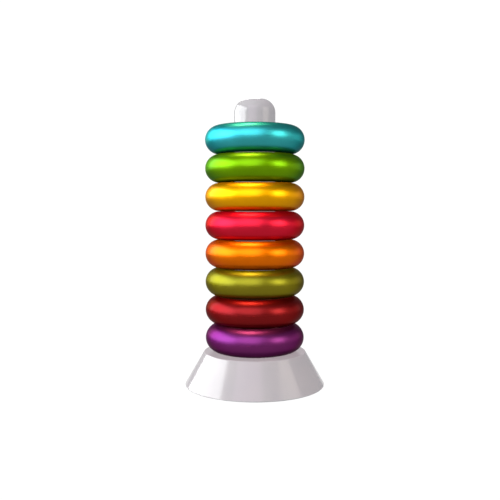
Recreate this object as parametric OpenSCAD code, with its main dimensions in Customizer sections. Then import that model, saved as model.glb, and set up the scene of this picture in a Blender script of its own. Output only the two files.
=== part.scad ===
// Ring stacking tower: eight equal hollow rings on a domed peg, which stands in a hollow conical base.
// Millimetres, +Z up. The origin is on the table, under the middle of the base.

/* [Rings] */
// Outer diameter of every ring
ring_d = 80; // [78:0.5:80]
// Height of a ring, which is the diameter of its round section
ring_h = 22.6; // [22.6:0.2:24]
// Diameter of the hole through a ring
ring_bore = 35.4; // [35.4:0.2:36.6]
// Wall thickness of a hollow ring
ring_wall = 2.2; // [2:0.1:2.6]
// Height of the lip that centres one half of a ring on the other
lip_h = 1.2; // [0.8:0.1:1.6]

/* [Peg] */
// Diameter of the peg
peg_d = 33; // [31:0.5:34]
// Height of the peg's tip above the stacked rings
peg_rise = 21.8; // [18:0.2:26]
// Wall thickness of the hollow peg
peg_wall = 2.4; // [2:0.1:3]
// Radius of the rounded shoulder of the peg's tip
shoulder_r = 11; // [9:0.5:12]
// Radius of the shallow crown on top of the peg
crown_r = 46; // [40:1:60]

/* [Base] */
// Height of the base from the table to its flat top
base_h = 27.8; // [27:0.2:32]
// Diameter of the base at its foot
base_d = 114.2; // [110:0.2:120]
// Diameter of the flat top of the base
base_top_d = 82.4; // [80:0.2:86]
// Wall thickness of the base shell
base_wall = 2.4; // [2:0.1:2.8]
// Thickness of the cover plate under the base
cover_t = 2; // [1.8:0.1:2.4]

/* [Feet] */
// Diameter of a foot pad
pad_d = 12; // [10:0.5:14]
// How far a foot pad stands out below the rim
pad_proud = 0.5; // [0.4:0.1:1.2]

/* [Hidden] */
RING_COLOURS = ["purple", "maroon", "olive", "orange", "crimson", "yellow", "green", "teal"];
RING_PAINTS = ["#6b1f7d", "#8c1720", "#8a8a1e", "#e07a00", "#c8203a", "#e8b400", "#5c9a00", "#1f9a96"];
HALVES = ["lower", "upper"];
PAD_NAMES = ["front", "right", "rear", "left"];
PAD_ANGLES = [-90, 0, 90, 180];

$fn = 96;
// Air between parts that slide or lie on each other
gap = 0.2;
// Air round a part that is pushed into a seat
fit = 0.1;
// How far a cut runs past the face that it opens
over = 1;
// How far an added shape reaches into the wall that it grows from
root = 0.2;

ring_r = ring_d / 2;
section_r = ring_h / 2;
section_x = ring_r - section_r;
bore_r = ring_bore / 2;
void_r = section_r - ring_wall;
void_in = bore_r + ring_wall;
void_out = section_x + void_r;
lip_t = ring_wall * 0.4;
lip_setback = fit;
ring_pitch = ring_h + gap;
stack_top = base_h + len(RING_COLOURS) * ring_pitch;

peg_r = peg_d / 2;
peg_top = stack_top + peg_rise;
shoulder_x = peg_r - shoulder_r;
crown_z = peg_top - crown_r;
shoulder_z = crown_z + sqrt(pow(crown_r - shoulder_r, 2) - pow(shoulder_x, 2));
shoulder_angle = atan2(shoulder_z - crown_z, shoulder_x);
flange_z = 9.5;
flange_t = 2.5;
gusset = [8, 1.8, 6];

screw_r = 1.45;
pilot_r = 1.5;
screw_hole_r = 1.7;
screw_grip = 12;
pilot_depth = 12;
pan_head = [2.9, 1.9];
flat_head = [2.9, 1.4];
recess = [3.4, 0.7, 1];
peg_screw_x = peg_r + 5.8;
peg_boss_r = 3.2;
flange_r = peg_screw_x + pan_head.x + over;
cover_screw_x = 32;
cover_post_r = 3.4;
post_rib = [12, 1.6, 13];

base_r = base_d / 2;
base_top_r = base_top_d / 2;
rim_z = pad_proud;
top_edge_r = 1;
rim_edge_r = 0.6;
slope = (base_r - base_top_r) / (base_h - rim_z);
wall_across = base_wall * sqrt(1 + slope * slope);
plate_z = base_h - base_wall;
collar = [2.2, 5.4];
cover_z = rim_z + 0.8;
cover_top = cover_z + cover_t;
cover_r = base_r - 3.1;
support_r = peg_r + 0.5;
support_t = 2;

pad_r = pad_d / 2;
pad_x = 42;
pad_seat = 0.8;
pad_edge = 0.4;

function unit(v) = v / norm(v);

// Points of the arc of radius r that rounds the corner at b, on the way from a to c
function rounded(a, b, c, r, steps = 6) =
    let (
        u = unit(a - b),
        v = unit(c - b),
        half = acos(u * v) / 2,
        centre = b + unit(u + v) * r / sin(half),
        from = b + u * r / tan(half) - centre,
        to = b + v * r / tan(half) - centre,
        start = atan2(from.y, from.x),
        turn = (atan2(to.y, to.x) - start + 540) % 360 - 180
    )
    [for (i = [0 : steps]) centre + r * [cos(start + turn * i / steps), sin(start + turn * i / steps)]];

// Radius of the outside of the base at a height
function base_radius(z) = base_r - slope * (z - rim_z);

// Four copies round the Z axis, x away from it
module four_round(x, angle = 0) {
    for (a = [0 : 90 : 270]) rotate(a + angle) translate([x, 0, 0]) children();
}

// Upright cylinder from z over a height: a hole, a post or a shank
module rod(r, z, h) {
    translate([0, 0, z]) cylinder(r = r, h = h);
}

// Rectangle between two radii and two heights, for a section beside the Z axis
module band(from_x, to_x, from_z, to_z) {
    translate([from_x, from_z]) square([to_x - from_x, to_z - from_z]);
}

// ---- Rings ----

// Section of a ring's wall: round, with a flat round the hole
module ring_section() {
    difference() {
        intersection() {
            translate([section_x, 0]) circle(section_r);
            band(bore_r, ring_d, -ring_h, ring_h);
        }
        intersection() {
            translate([section_x, 0]) circle(void_r);
            band(void_in, ring_d, -ring_h, ring_h);
        }
    }
}

// Lips round the hollow, on the bore's wall and on the outer wall.
// The seat for them is larger by play, and runs past the lips into the hollow.
module lips(play = 0, past = 0) {
    bore_lip = void_in - lip_setback;
    outer_lip = void_out + lip_setback;
    band(bore_lip - lip_t - play, bore_lip + past, -root, lip_h + play);
    band(outer_lip - past, outer_lip + lip_t + play, -root, lip_h + play);
}

module ring_half_lower() {
    rotate_extrude() {
        intersection() {
            ring_section();
            band(0, ring_d, -ring_h, 0);
        }
        lips();
    }
}

module ring_half_upper() {
    rotate_extrude() difference() {
        intersection() {
            ring_section();
            band(0, ring_d, 0, ring_h);
        }
        lips(play = fit, past = 4 * fit);
    }
}

module ring(index, half) {
    z = base_h + gap + section_r + index * ring_pitch;
    color(RING_PAINTS[index]) translate([0, 0, z]) {
        if (half == "lower") ring_half_lower();
        if (half == "upper") ring_half_upper();
    }
}

// ---- Peg ----

// Half section of the peg, inset from its outside: straight side, rounded shoulder, shallow crown
module peg_section(inset, foot_z) {
    intersection() {
        union() {
            band(0, peg_r - inset, foot_z, shoulder_z);
            translate([shoulder_x, shoulder_z]) circle(shoulder_r - inset);
            translate([0, crown_z]) intersection() {
                circle(crown_r - inset);
                polygon(2 * crown_r * [[0, 0], [cos(shoulder_angle), sin(shoulder_angle)], [0, 1]]);
            }
        }
        band(0, peg_d, foot_z, peg_top + over);
    }
}

// Web between the peg's side and its flange
module peg_gusset() {
    translate([peg_r - root, gusset.y / 2, flange_z + flange_t - root]) rotate([90, 0, 0])
        linear_extrude(gusset.y) polygon([[0, 0], [gusset.x, 0], [0, gusset.z]]);
}

module peg() {
    color("gainsboro") difference() {
        union() {
            rotate_extrude() peg_section(0, flange_z);
            rod(flange_r, flange_z, flange_t);
            four_round(0, 45) peg_gusset();
        }
        rotate_extrude() peg_section(peg_wall, flange_z - over);
        four_round(peg_screw_x) rod(screw_hole_r, flange_z - over, flange_t + 2 * over);
    }
}

// ---- Base ----

// Half section of the base: sloping wall, flat top, collar round the peg, ledge for the cover
module base_section() {
    hole_r = peg_r + fit;
    inner = [hole_r, base_h];
    top_edge = [base_top_r, base_h];
    rim_edge = [base_r, rim_z];
    rim_inner = [cover_r + fit, rim_z];
    polygon(concat(
        [inner],
        rounded(inner, top_edge, rim_edge, top_edge_r),
        rounded(top_edge, rim_edge, rim_inner, rim_edge_r),
        [
            rim_inner,
            [cover_r + fit, cover_top],
            [base_radius(cover_top) - wall_across, cover_top],
            [base_radius(plate_z) - wall_across, plate_z],
            [hole_r + collar.x, plate_z],
            [hole_r + collar.x, plate_z - collar.y],
            [hole_r, plate_z - collar.y]
        ]
    ));
}

// Post that hangs from the flat top down to z
module hanging_post(r, z) {
    rod(r, z, base_h - base_wall / 2 - z);
}

// Ribs from the cover posts out to the sloping wall
module post_ribs() {
    intersection() {
        four_round(cover_screw_x + cover_post_r / 2, 45)
            translate([0, -post_rib.y / 2, plate_z - post_rib.z + root]) cube(post_rib);
        rod(base_radius(plate_z) - wall_across / 2, 0, base_h);
    }
}

module base_shell() {
    boss_z = flange_z + flange_t;
    color("gainsboro") difference() {
        union() {
            rotate_extrude() base_section();
            four_round(peg_screw_x) hanging_post(peg_boss_r, boss_z);
            four_round(cover_screw_x, 45) hanging_post(cover_post_r, cover_top);
            post_ribs();
        }
        four_round(peg_screw_x) rod(pilot_r, boss_z - over, pilot_depth);
        four_round(cover_screw_x, 45) rod(pilot_r, cover_top - over, pilot_depth);
    }
}

// Ring on the cover that stops the peg's foot from sagging
module peg_support() {
    difference() {
        rod(support_r + support_t, cover_top - root, flange_z - gap - cover_top + root);
        rod(support_r, cover_top - 2 * root, flange_z);
    }
}

// Cone from the face of a countersunk head up to its shank, grown by play
module countersink(play) {
    translate([0, 0, cover_z]) cylinder(r1 = flat_head.x + play, r2 = screw_r + play, h = flat_head.y + play);
}

module base_cover() {
    color("whitesmoke") difference() {
        union() {
            rod(cover_r, cover_z, cover_t);
            peg_support();
        }
        four_round(cover_screw_x, 45) {
            rod(screw_hole_r, cover_z - over, cover_t + 2 * over);
            countersink(fit);
        }
        four_round(pad_x) rod(pad_r + fit, cover_z - over, pad_seat + over);
    }
}

// ---- Screws and feet ----

// Cross recess cut up into the face of a head at z
module cross_recess(z) {
    for (a = [0, 90]) rotate(a)
        translate([-recess.x / 2, -recess.y / 2, z - over]) cube([recess.x, recess.y, recess.z + over]);
}

// Pan-head screws that hold the peg's flange up against the bosses
module peg_screws() {
    color("silver") four_round(peg_screw_x) difference() {
        union() {
            rod(pan_head.x, flange_z - pan_head.y, pan_head.y);
            rod(screw_r, flange_z - root, screw_grip);
        }
        cross_recess(flange_z - pan_head.y);
    }
}

// Countersunk screws that hold the cover up against its posts
module cover_screws() {
    color("silver") four_round(cover_screw_x, 45) difference() {
        union() {
            countersink(0);
            rod(screw_r, cover_z + flat_head.y - root, screw_grip - flat_head.y);
        }
        cross_recess(cover_z);
    }
}

// Round rubber pad with a bevelled edge at the table
module foot_pad(angle) {
    color("dimgray") rotate(angle) translate([pad_x, 0, 0]) {
        cylinder(r1 = pad_r - pad_edge, r2 = pad_r, h = pad_edge);
        rod(pad_r, pad_edge, cover_z + pad_seat - pad_edge);
    }
}

// ---- Nodes ----

base_shell();
base_cover();
cover_screws();
peg();
peg_screws();
for (i = [0 : len(PAD_NAMES) - 1])
    foot_pad(PAD_ANGLES[i]);
for (i = [0 : len(RING_COLOURS) - 1], half = HALVES)
    ring(i, half);
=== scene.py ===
"""Ring stacking tower: eight metallic rings on a white peg that stands in a conical white base.

Metres, +Z up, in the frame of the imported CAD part.
"""

import math

import bmesh
import bpy
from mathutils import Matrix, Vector


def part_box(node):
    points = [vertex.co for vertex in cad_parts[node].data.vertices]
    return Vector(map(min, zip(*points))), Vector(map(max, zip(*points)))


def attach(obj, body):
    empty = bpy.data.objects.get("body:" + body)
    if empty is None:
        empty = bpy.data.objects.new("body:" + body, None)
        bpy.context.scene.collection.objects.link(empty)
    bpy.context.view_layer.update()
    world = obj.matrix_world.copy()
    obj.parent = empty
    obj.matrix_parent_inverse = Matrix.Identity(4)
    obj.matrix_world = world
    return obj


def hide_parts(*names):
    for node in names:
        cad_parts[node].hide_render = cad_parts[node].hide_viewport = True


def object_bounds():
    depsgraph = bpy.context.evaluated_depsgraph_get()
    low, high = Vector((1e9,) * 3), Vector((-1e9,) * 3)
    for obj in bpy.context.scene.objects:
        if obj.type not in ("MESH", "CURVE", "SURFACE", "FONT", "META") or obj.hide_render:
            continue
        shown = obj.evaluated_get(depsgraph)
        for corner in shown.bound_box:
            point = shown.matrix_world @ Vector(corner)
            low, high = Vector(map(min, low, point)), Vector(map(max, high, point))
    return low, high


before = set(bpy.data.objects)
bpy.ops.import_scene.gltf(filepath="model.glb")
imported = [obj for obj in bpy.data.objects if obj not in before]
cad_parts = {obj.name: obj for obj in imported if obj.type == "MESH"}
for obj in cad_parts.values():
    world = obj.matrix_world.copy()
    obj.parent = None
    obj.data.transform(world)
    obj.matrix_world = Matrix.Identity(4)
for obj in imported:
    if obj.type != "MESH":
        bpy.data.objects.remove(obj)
cad_low, cad_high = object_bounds()

MM = 0.001

# The camera looks along +Y and dips by this many radians; lights stand round the tower's middle
CAMERA_PLACE = (-0.0039, -0.5632, 0.147)
CAMERA_DIP = 0.065
LIGHT_DISTANCE = 2.0

# Glow of the backdrop as the camera sees it, and of the room as it lights the scene
BACKDROP_GLOW = 1.05
ROOM_GLOW = 0.42

# Floor: its glow in reflections falls from front to back between two places on Y
FLOOR_R = 4.0
FLOOR_STEPS = 96
GLOW_FRONT = 0.95
GLOW_BACK = 0.45
GLOW_FRONT_Y = -0.1
GLOW_BACK_Y = 0.45

# The rings' section, as in the CAD part
RING_R = 40.0 * MM
SECTION_R = 11.3 * MM
SECTION_X = RING_R - SECTION_R
BORE_R = 17.7 * MM
WALL = 2.2 * MM
LIP_H = 1.2 * MM
LIP_T = 0.88 * MM
LIP_PLAY = 0.1 * MM

# Fine points of the ring shells: the weld line's chamfer, and the softened edge where skin meets bore
SEAM = 0.045 * MM
BORE_EDGE_DEGREES = 1.5
BORE_EDGE_STEP = 0.012 * MM
BORE_EDGE_DROP = 0.3 * MM

# How far wear reaches from the crest and from the bore, and how strong it is at the bore
CREST_WEAR = 1.6 * MM
BORE_WEAR = 2.2 * MM
BORE_RUB = 0.7

# Paleness and strength of the metal's grazing reflection
EDGE_PALENESS = 0.55
EDGE_STRENGTH = 0.32

# Steps round the ring, the pad, and the ring's section; turned meshes are smooth below the sharp angle
RING_STEPS = 144
PAD_STEPS = 64
SKIN_STEPS = 46
VOID_STEPS = 18
SHARP_EDGE = math.radians(35)
MERGE_DISTANCE = 0.001 * MM

# Foot pads: rounded rim, and grooves at these shares of the radius
PAD_RIM = 0.6 * MM
PAD_RIM_STEPS = 6
GROOVE_W = 0.7 * MM
GROOVE_D = 0.35 * MM
GROOVE_PLACES = (0.76, 0.52, 0.28)

# Colour of each ring's tinted metal, from the base up
RING_TINTS = {
    "purple": (0.102, 0.0115, 0.075),
    "maroon": (0.137, 0.0052, 0.0055),
    "olive": (0.135, 0.112, 0.0055),
    "orange": (0.47, 0.092, 0.0),
    "crimson": (0.381, 0.0062, 0.0185),
    "yellow": (0.49, 0.21, 0.0),
    "green": (0.087, 0.185, 0.0),
    "teal": (0.0225, 0.232, 0.242),
}
TOP_RING = "teal"
HALVES = ("lower", "upper")
PAD_SIDES = ("front", "right", "rear", "left")

# Collections that say which lights an object takes
LIT_GROUPS = ("stack", "top_ring", "whites", "peg", "base")

scene = bpy.context.scene


# ---- Camera and light ----

def link(obj):
    scene.collection.objects.link(obj)
    return obj


def light_with(obj, *groups):
    """Puts an object in the collections whose lights it takes."""
    for group in groups:
        bpy.data.collections[group].objects.link(obj)


def make_camera():
    camera = link(bpy.data.objects.new("camera", bpy.data.cameras.new("camera")))
    camera.data.lens = 50
    camera.data.sensor_width = 36
    camera.location = CAMERA_PLACE
    camera.rotation_euler = (math.pi / 2 - CAMERA_DIP, 0, 0)
    scene.camera = camera


def direction(azimuth, elevation):
    """Unit vector towards a place: azimuth 0 is the camera's side, 90 is +X."""
    a, e = math.radians(azimuth), math.radians(elevation)
    return Vector((math.sin(a) * math.cos(e), -math.cos(a) * math.cos(e), math.sin(e)))


def softbox(name, azimuth, elevation, size, radiance, colour, group, seen_in="gloss", blocked=True):
    """Area light of a given radiance that faces the tower's middle and lights one group of objects.

    It is seen either in reflections or in soft shading. One that isn't blocked shines through what is
    in its way, and shows only on what the camera sees directly.
    """
    light = bpy.data.lights.new(name, "AREA")
    light.shape = "RECTANGLE"
    light.size, light.size_y = size
    light.energy = radiance * math.pi * size[0] * size[1]
    light.color = colour
    if not blocked:
        light.use_shadow = False
        light.cycles.use_multiple_importance_sampling = False
        light.cycles.max_bounces = 0
    obj = link(bpy.data.objects.new(name, light))
    towards = direction(azimuth, elevation)
    middle = (cad_low + cad_high) / 2
    obj.location = middle + towards * LIGHT_DISTANCE
    obj.rotation_euler = towards.to_track_quat("Z", "Y").to_euler()
    obj.visible_camera = False
    obj.visible_diffuse = seen_in == "shading"
    obj.visible_glossy = seen_in == "gloss"
    obj.light_linking.receiver_collection = bpy.data.collections[group]


def make_lights():
    """Studio softboxes: bright ones that show in the rings' metal, a gentler set for the white plastic.

    The fill lifts the peg's shaded side, and the bounce stands for the warm light off the rings.
    """
    for group in LIT_GROUPS:
        bpy.data.collections.new(group)
    for rings in ("stack", "top_ring"):
        softbox("light_left", -89, 22, (3.25, 1.55), 10.5, (0.64, 0.77, 0.95), rings)
        softbox("light_left_far", -136, 14, (1.1, 1.2), 1.5, (1.0, 1.12, 0.45), rings)
        softbox("light_front", -12, 33, (1.85, 1.9), 5.6, (0.80, 0.91, 1.0), rings)
        softbox("light_right", 58, 22, (1.0, 1.1), 8.3, (0.97, 1.06, 0.97), rings)
        softbox("light_right_far", 110, 8, (1.8, 0.9), 1.25, (1.0, 1.0, 0.95), rings)
    softbox("light_overhead", 203, 75, (0.65, 0.8), 24.5, (1.0, 0.75, 0.36), "stack", blocked=False)
    softbox("light_overhead_top", 207, 72, (0.8, 0.6), 40.0, (1.0, 0.45, 0.20), "top_ring", blocked=False)
    softbox("light_left_white", -96, 18.2, (3.5, 1.44), 7.5, (0.96, 0.99, 1.0), "whites")
    softbox("light_front_white", -14, 30, (1.6, 1.8), 1.2, (0.95, 0.62, 0.9), "whites")
    softbox("light_right_white", 65, 22, (1.3, 1.1), 2.3, (1.0, 0.90, 0.78), "whites")
    softbox("light_back_white", 184, 36, (0.55, 1.0), 3.5, (1.0, 1.0, 1.0), "whites")
    softbox("light_soft_left", -62, 28, (2.0, 2.0), 1.3, (0.97, 0.97, 1.0), "whites", "shading")
    softbox("light_fill", 25, 60, (1.6, 1.6), 0.75, (1.0, 0.66, 0.80), "peg", "shading", blocked=False)
    softbox("light_bounce", 0, 84, (1.6, 1.6), 1.2, (1.0, 0.52, 0.64), "base", "shading", blocked=False)


def make_world():
    world = bpy.data.worlds.new("studio")
    scene.world = world
    world.use_nodes = True
    tree = world.node_tree
    tree.nodes.clear()
    output = tree.nodes.new("ShaderNodeOutputWorld")
    mix = tree.nodes.new("ShaderNodeMixShader")
    seen = tree.nodes.new("ShaderNodeBackground")
    room = tree.nodes.new("ShaderNodeBackground")
    path = tree.nodes.new("ShaderNodeLightPath")
    seen.inputs["Color"].default_value = (1, 1, 1, 1)
    seen.inputs["Strength"].default_value = BACKDROP_GLOW
    room.inputs["Color"].default_value = (0.97, 0.98, 1.0, 1)
    room.inputs["Strength"].default_value = ROOM_GLOW
    tree.links.new(path.outputs["Is Camera Ray"], mix.inputs["Fac"])
    tree.links.new(room.outputs["Background"], mix.inputs[1])
    tree.links.new(seen.outputs["Background"], mix.inputs[2])
    tree.links.new(mix.outputs["Shader"], output.inputs["Surface"])


# ---- Materials ----

class Graph:
    """A material's node tree, with short calls for its nodes."""

    def __init__(self, name):
        self.material = bpy.data.materials.new(name)
        self.material.use_nodes = True
        self.tree = self.material.node_tree
        self.tree.nodes.clear()
        self.output = self.tree.nodes.new("ShaderNodeOutputMaterial")
        self.shader = self.node("ShaderNodeBsdfPrincipled")
        self.link(self.shader.outputs["BSDF"], self.output.inputs["Surface"])
        self.place = self.node("ShaderNodeTexCoord").outputs["Object"]

    def node(self, kind, **settings):
        made = self.tree.nodes.new(kind)
        for key, value in settings.items():
            setattr(made, key, value)
        return made

    def link(self, source, target):
        self.tree.links.new(source, target)

    def fill(self, socket, value):
        if isinstance(value, bpy.types.NodeSocket):
            self.link(value, socket)
        else:
            socket.default_value = value

    def noise(self, size, detail=3.0, roughness=0.5, upright=1.0):
        """Noise whose features are about size across, in metres, and upright times as long along Z."""
        made = self.node("ShaderNodeTexNoise")
        made.inputs["Scale"].default_value = 1 / size
        made.inputs["Detail"].default_value = detail
        made.inputs["Roughness"].default_value = roughness
        if upright == 1.0:
            self.link(self.place, made.inputs["Vector"])
        else:
            squeezed = self.node("ShaderNodeMapping")
            squeezed.inputs["Scale"].default_value = (1, 1, 1 / upright)
            self.link(self.place, squeezed.inputs["Vector"])
            self.link(squeezed.outputs["Vector"], made.inputs["Vector"])
        return made.outputs["Fac"]

    def circles(self, spacing, waver=6.0):
        """Wavering fine circles about the Z axis, spacing apart, as left by turning parts."""
        made = self.node("ShaderNodeTexWave", wave_type="RINGS", rings_direction="Z")
        phase_per_unit = 20
        made.inputs["Scale"].default_value = 2 * math.pi / (phase_per_unit * spacing)
        made.inputs["Distortion"].default_value = waver
        made.inputs["Detail"].default_value = 2
        made.inputs["Detail Scale"].default_value = 0.12
        self.link(self.place, made.inputs["Vector"])
        return made.outputs["Fac"]

    def radius(self):
        """Distance from the Z axis."""
        flat = self.node("ShaderNodeVectorMath", operation="MULTIPLY")
        flat.inputs[1].default_value = (1, 1, 0)
        self.link(self.place, flat.inputs[0])
        length = self.node("ShaderNodeVectorMath", operation="LENGTH")
        self.link(flat.outputs["Vector"], length.inputs[0])
        return length.outputs["Value"]

    def cells(self, size):
        """Cells about size across, each of a colour of its own."""
        made = self.node("ShaderNodeTexVoronoi")
        made.inputs["Scale"].default_value = 1 / size
        self.link(self.place, made.inputs["Vector"])
        return made.outputs["Color"]

    def attribute(self, name):
        return self.node("ShaderNodeAttribute", attribute_name=name).outputs["Fac"]

    def span(self, value, low, high, to_low=0.0, to_high=1.0, smooth=False):
        made = self.node("ShaderNodeMapRange", interpolation_type="SMOOTHSTEP" if smooth else "LINEAR")
        ends = {"From Min": low, "From Max": high, "To Min": to_low, "To Max": to_high}
        for key, number in ends.items():
            made.inputs[key].default_value = number
        self.link(value, made.inputs["Value"])
        return made.outputs["Result"]

    def math(self, operation, a, b=0.0):
        made = self.node("ShaderNodeMath", operation=operation)
        self.fill(made.inputs[0], a)
        self.fill(made.inputs[1], b)
        return made.outputs["Value"]

    def mix(self, factor, a, b, blend="MIX"):
        """Mix of two colours: the node's sockets 0, 6 and 7 are the factor and the colours."""
        made = self.node("ShaderNodeMix", data_type="RGBA", blend_type=blend)
        self.fill(made.inputs[0], factor)
        self.fill(made.inputs[6], a)
        self.fill(made.inputs[7], b)
        return made.outputs[2]

    def grey(self, value):
        made = self.node("ShaderNodeCombineColor")
        for channel in made.inputs:
            self.link(value, channel)
        return made.outputs["Color"]

    def bump(self, height, distance, strength=1.0, normal=None):
        made = self.node("ShaderNodeBump")
        made.inputs["Distance"].default_value = distance
        made.inputs["Strength"].default_value = strength
        self.link(height, made.inputs["Height"])
        if normal:
            self.link(normal, made.inputs["Normal"])
        return made.outputs["Normal"]

    def set(self, **values):
        for key, value in values.items():
            self.fill(self.shader.inputs[key.replace("_", " ")], value)


def rgba(colour, scale=1.0):
    return tuple(c * scale for c in colour) + (1.0,)


def edge_tint(tint):
    """Tint of the metal's grazing reflection: a pale, dim shade of its own hue."""
    peak = max(tint)
    return rgba([EDGE_PALENESS + (1 - EDGE_PALENESS) * c / peak for c in tint], EDGE_STRENGTH)


def lacquer(name, tint):
    """Tinted lacquer on bright metallising: fine flake, soft orange peel, rubbed where rings touch."""
    g = Graph(name)
    depth = g.span(g.noise(24 * MM, detail=2), 0.3, 0.7)
    body = g.mix(depth, rgba(tint, 0.94), rgba(tint, 1.05))
    flake = g.span(g.cells(0.32 * MM), 0.0, 1.0, 0.93, 1.07)
    body = g.mix(1.0, body, g.grey(flake), "MULTIPLY")
    patches = g.span(g.noise(4.5 * MM, detail=4, roughness=0.65), 0.44, 0.60, smooth=True)
    worn = g.math("MULTIPLY", g.attribute("rub"), patches)
    worn = g.math("MULTIPLY", worn, g.span(g.circles(0.32 * MM), 0.35, 0.85))
    bare = rgba([0.6 * c + 0.13 for c in tint])
    body = g.mix(g.math("MULTIPLY", worn, 0.5), body, bare)
    rough = g.span(g.noise(6 * MM, detail=3), 0.3, 0.7, 0.37, 0.41)
    rough = g.math("ADD", rough, g.math("MULTIPLY", worn, 0.15))
    peel = g.bump(g.noise(2.4 * MM, detail=1), 0.006 * MM, 0.4)
    g.set(Base_Color=body, Metallic=1.0, Roughness=rough, Specular_Tint=edge_tint(tint))
    g.set(Coat_Weight=0.18, Coat_Roughness=0.24, Coat_IOR=1.2)
    g.link(peel, g.shader.inputs["Normal"])
    return g.material


def slide_marks(g):
    """Fine upright hairlines that the rings leave on the peg."""
    hairs = g.span(g.noise(0.4 * MM, detail=2, upright=60.0), 0.56, 0.70, smooth=True)
    return g.math("MULTIPLY", hairs, g.span(g.noise(9 * MM, upright=3.0), 0.40, 0.62, smooth=True))


def turning_marks(g):
    """Fine circles where the lowest ring stands and turns on the base."""
    away = g.math("ABSOLUTE", g.math("SUBTRACT", g.radius(), SECTION_X))
    lines = g.span(g.circles(0.35 * MM), 0.40, 0.85)
    lines = g.math("MULTIPLY", lines, g.span(g.noise(5 * MM), 0.42, 0.60, smooth=True))
    return g.math("MULTIPLY", lines, g.span(away, 0.6 * MM, 3.2 * MM, 1.0, 0.0, smooth=True))


def white_plastic(name, marks):
    """Glossy white moulded plastic: faint waviness, handling haze, the marks that rings leave on it."""
    g = Graph(name)
    scuffs = marks(g)
    shade = g.span(g.noise(30 * MM, detail=2), 0.3, 0.7)
    body = g.mix(shade, (0.79, 0.79, 0.80, 1), (0.83, 0.825, 0.82, 1))
    body = g.mix(g.math("MULTIPLY", scuffs, 0.35), body, (0.70, 0.695, 0.69, 1))
    rough = g.span(g.noise(9 * MM, detail=5, roughness=0.6), 0.3, 0.75, 0.12, 0.19)
    rough = g.math("ADD", rough, g.math("MULTIPLY", scuffs, 0.16))
    wave = g.bump(g.noise(7 * MM, detail=1), 0.01 * MM, 0.35)
    g.set(Base_Color=body, Roughness=rough, IOR=1.5)
    g.link(g.bump(scuffs, -0.004 * MM, 0.5, wave), g.shader.inputs["Normal"])
    return g.material


def matt_plastic(name):
    """Spark-eroded moulded texture of the cover."""
    g = Graph(name)
    shade = g.span(g.noise(20 * MM, detail=3), 0.3, 0.7)
    body = g.mix(shade, (0.66, 0.66, 0.665, 1), (0.71, 0.705, 0.70, 1))
    grain = g.noise(0.5 * MM, detail=3, roughness=0.7)
    rough = g.span(grain, 0.3, 0.7, 0.48, 0.62)
    g.set(Base_Color=body, Roughness=rough, IOR=1.5)
    g.link(g.bump(grain, 0.03 * MM, 0.6), g.shader.inputs["Normal"])
    return g.material


def zinc(name):
    g = Graph(name)
    shade = g.span(g.noise(1.6 * MM, detail=4), 0.3, 0.7)
    body = g.mix(shade, (0.52, 0.53, 0.55, 1), (0.66, 0.655, 0.63, 1))
    rough = g.span(g.noise(0.4 * MM, detail=3), 0.3, 0.7, 0.24, 0.42)
    g.set(Base_Color=body, Metallic=1.0, Roughness=rough)
    g.link(g.bump(g.noise(0.25 * MM), 0.01 * MM, 0.5), g.shader.inputs["Normal"])
    return g.material


def rubber(name):
    g = Graph(name)
    shade = g.span(g.noise(2.5 * MM, detail=4), 0.3, 0.7)
    body = g.mix(shade, (0.040, 0.040, 0.042, 1), (0.070, 0.069, 0.067, 1))
    grain = g.noise(0.35 * MM, detail=3, roughness=0.7)
    rough = g.span(grain, 0.3, 0.7, 0.62, 0.85)
    g.set(Base_Color=body, Roughness=rough, IOR=1.5)
    g.link(g.bump(grain, 0.03 * MM, 0.7), g.shader.inputs["Normal"])
    return g.material


# ---- Floor ----

def make_floor():
    """Pale floor, evenly bright to the eye, dimmer at the back in reflections, clear from below."""
    mesh = bpy.data.meshes.new("floor")
    shape = bmesh.new()
    bmesh.ops.create_circle(shape, cap_ends=True, radius=FLOOR_R, segments=FLOOR_STEPS)
    shape.to_mesh(mesh)
    shape.free()
    floor = link(bpy.data.objects.new("floor", mesh))
    floor.location.z = cad_low.z
    floor.visible_diffuse = False
    g = Graph("floor_paper")
    split = g.node("ShaderNodeSeparateXYZ")
    g.link(g.place, split.inputs[0])
    y = split.outputs["Y"]
    reflected = g.span(y, GLOW_FRONT_Y, GLOW_BACK_Y, GLOW_FRONT, GLOW_BACK, smooth=True)
    seen = g.node("ShaderNodeLightPath").outputs["Is Camera Ray"]
    glow = g.node("ShaderNodeEmission")
    g.link(g.math("MAXIMUM", reflected, seen), glow.inputs["Strength"])
    paper = g.node("ShaderNodeBsdfDiffuse")
    paper.inputs["Color"].default_value = (0.1, 0.1, 0.1, 1)
    lit = g.node("ShaderNodeAddShader")
    g.link(paper.outputs[0], lit.inputs[0])
    g.link(glow.outputs[0], lit.inputs[1])
    side = g.node("ShaderNodeMixShader")
    g.link(g.node("ShaderNodeNewGeometry").outputs["Backfacing"], side.inputs["Fac"])
    g.link(lit.outputs[0], side.inputs[1])
    g.link(g.node("ShaderNodeBsdfTransparent").outputs[0], side.inputs[2])
    g.link(side.outputs[0], g.output.inputs["Surface"])
    g.tree.nodes.remove(g.shader)
    mesh.materials.append(g.material)


# ---- Ring shells ----

def arc(centre_x, radius, start, stop, steps):
    """Points of an arc about (centre_x, 0), from start to stop degrees."""
    angles = [math.radians(start + (stop - start) * i / steps) for i in range(steps + 1)]
    return [(centre_x + radius * math.cos(a), radius * math.sin(a)) for a in angles]


def angle_at(radius, x):
    """Degrees on the arc about SECTION_X where its distance from the axis is x."""
    return math.degrees(math.acos((x - SECTION_X) / radius))


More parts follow.
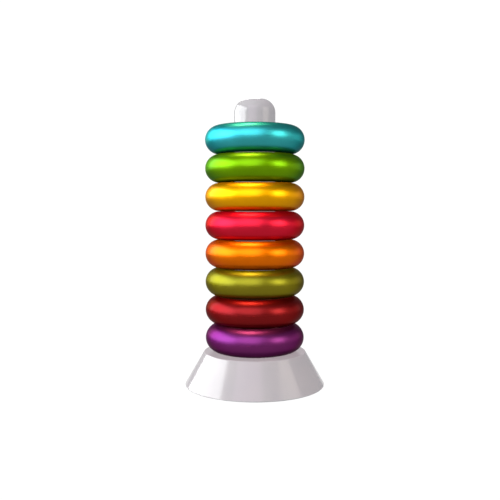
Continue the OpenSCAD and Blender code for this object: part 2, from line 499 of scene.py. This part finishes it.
def skin_profile():
    """Outer skin of a half shell: from the weld line outside, over the crest, to the one in the bore."""
    edge = angle_at(SECTION_R, BORE_R)
    edge_z = SECTION_R * math.sin(math.radians(edge))
    start = math.degrees(SEAM / SECTION_R)
    points = [(RING_R - SEAM, 0.0)]
    points += arc(SECTION_X, SECTION_R, start, edge - BORE_EDGE_DEGREES, SKIN_STEPS)
    points += [(BORE_R + BORE_EDGE_STEP, edge_z), (BORE_R, edge_z - BORE_EDGE_DROP)]
    points += [(BORE_R, SEAM), (BORE_R + SEAM, 0.0)]
    return points


def half_profile(half):
    """Closed section of a half shell, z away from the weld plane. The lower half's lips pass it."""
    void_r = SECTION_R - WALL
    void_in = BORE_R + WALL
    void_start = angle_at(void_r, void_in)
    bore_lip = void_in - LIP_PLAY
    outer_lip = SECTION_X + void_r + LIP_PLAY
    if half == "lower":
        bore_side = [(bore_lip - LIP_T, 0.0), (bore_lip - LIP_T, -LIP_H), (bore_lip, -LIP_H)]
        bore_side += [(bore_lip, 0.0), (void_in, 0.0)]
        void = arc(SECTION_X, void_r, void_start, 0.0, VOID_STEPS)
        outer_side = [(outer_lip, 0.0), (outer_lip, -LIP_H)]
        outer_side += [(outer_lip + LIP_T, -LIP_H), (outer_lip + LIP_T, 0.0)]
    else:
        seat_in = bore_lip - LIP_T - LIP_PLAY
        seat_out = outer_lip + LIP_T + LIP_PLAY
        seat_h = LIP_H + LIP_PLAY
        bore_side = [(seat_in, 0.0), (seat_in, seat_h), (void_in, seat_h)]
        void_stop = math.degrees(math.asin(seat_h / void_r))
        void = arc(SECTION_X, void_r, void_start, void_stop, VOID_STEPS)
        outer_side = [(seat_out, seat_h), (seat_out, 0.0)]
    return skin_profile() + bore_side + void + outer_side


def rub_at(x, z):
    """How rubbed the skin is: on the crest where rings touch, and round the bore."""
    below_crest = z < SECTION_R / 2
    off_bore = x > SECTION_X - SECTION_R / 2
    if below_crest and off_bore:
        return 0.0
    crest = math.exp(-((x - SECTION_X) / CREST_WEAR) ** 2)
    bore = BORE_RUB * max(0.0, 1 - (x - BORE_R) / BORE_WEAR)
    return min(1.0, crest + bore)


def revolve(name, profile, steps, rub=None, centre=(0.0, 0.0)):
    """Mesh object of a closed section turned about an upright axis through centre.

    A side of the section that lies on the axis makes no faces.
    """
    shape = bmesh.new()
    layer = shape.verts.layers.float.new("rub")
    rows = []
    for k in range(steps):
        turn = 2 * math.pi * k / steps
        row = []
        for i, (x, z) in enumerate(profile):
            spot = (centre[0] + x * math.cos(turn), centre[1] + x * math.sin(turn), z)
            vertex = shape.verts.new(spot)
            vertex[layer] = rub[i] if rub else 0.0
            row.append(vertex)
        rows.append(row)
    count = len(profile)
    for k in range(steps):
        here, there = rows[k], rows[(k + 1) % steps]
        for i in range(count):
            j = (i + 1) % count
            if profile[i][0] == 0 and profile[j][0] == 0:
                continue
            face = shape.faces.new((here[i], there[i], there[j], here[j]))
            face.smooth = True
    bmesh.ops.remove_doubles(shape, verts=shape.verts, dist=MERGE_DISTANCE)
    bmesh.ops.recalc_face_normals(shape, faces=shape.faces)
    for edge in shape.edges:
        edge.smooth = edge.calc_face_angle(0.0) < SHARP_EDGE
    mesh = bpy.data.meshes.new(name)
    shape.to_mesh(mesh)
    shape.free()
    return link(bpy.data.objects.new(name, mesh))


def make_ring(colour, tint):
    material = lacquer(f"{colour}_lacquer_look", tint)
    weld_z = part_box(f"{colour}_ring_upper")[0].z
    for half in HALVES:
        side = -1 if half == "lower" else 1
        profile = half_profile(half)
        placed = [(x, weld_z + side * z) for x, z in profile]
        rub = [rub_at(x, z) for x, z in profile]
        shell = revolve(f"{colour}_ring_{half}_shell", placed, RING_STEPS, rub)
        shell.data.materials.append(material)
        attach(shell, f"{colour}_ring")
        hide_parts(f"{colour}_ring_{half}")
        light_with(shell, "top_ring" if colour == TOP_RING else "stack")
        shell.visible_diffuse = False


# ---- Foot pads ----

def pad_profile(radius, low, high):
    """Section of a pad from its axis: flat back, rounded rim, and sole with round grooves."""
    rim = arc(radius - PAD_RIM, PAD_RIM, 0.0, -90.0, PAD_RIM_STEPS)
    points = [(0.0, high), (radius, high)]
    points += [(x, low + PAD_RIM + z) for x, z in rim]
    for share in GROOVE_PLACES:
        middle = share * radius
        points += [(middle + GROOVE_W / 2, low), (middle + GROOVE_W / 4, low + GROOVE_D)]
        points += [(middle - GROOVE_W / 4, low + GROOVE_D), (middle - GROOVE_W / 2, low)]
    points.append((0.0, low))
    return points


def make_pad(side, material):
    node = f"foot_pad_{side}"
    low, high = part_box(node)
    middle = (low + high) / 2
    profile = pad_profile((high.x - low.x) / 2, low.z, high.z)
    pad = revolve(f"{node}_moulded", profile, PAD_STEPS, centre=middle.xy)
    pad.data.materials.append(material)
    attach(pad, "base")
    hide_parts(node)
    light_with(pad, "whites")


def dress(node, material, slot, *groups):
    """Gives a carried CAD node a procedural material, and its lights."""
    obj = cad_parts[node]
    for place in obj.material_slots:
        place.material = material
    light_with(obj, *groups)


def main():
    make_camera()
    make_world()
    make_lights()
    make_floor()
    for colour, tint in RING_TINTS.items():
        make_ring(colour, tint)
    base_look = white_plastic("base_plastic_look", turning_marks)
    peg_look = white_plastic("peg_plastic_look", slide_marks)
    steel = zinc("screw_steel_look")
    dress("base_shell", base_look, "white_plastic", "whites", "base")
    dress("peg", peg_look, "white_plastic", "whites", "peg")
    dress("base_cover", matt_plastic("cover_plastic_look"), "cover_plastic", "whites")
    dress("cover_screws", steel, "screw_steel", "whites")
    dress("peg_screws", steel, "screw_steel", "whites")
    sole = rubber("pad_rubber_look")
    for side in PAD_SIDES:
        make_pad(side, sole)
    scene.view_settings.view_transform = "Standard"


main()
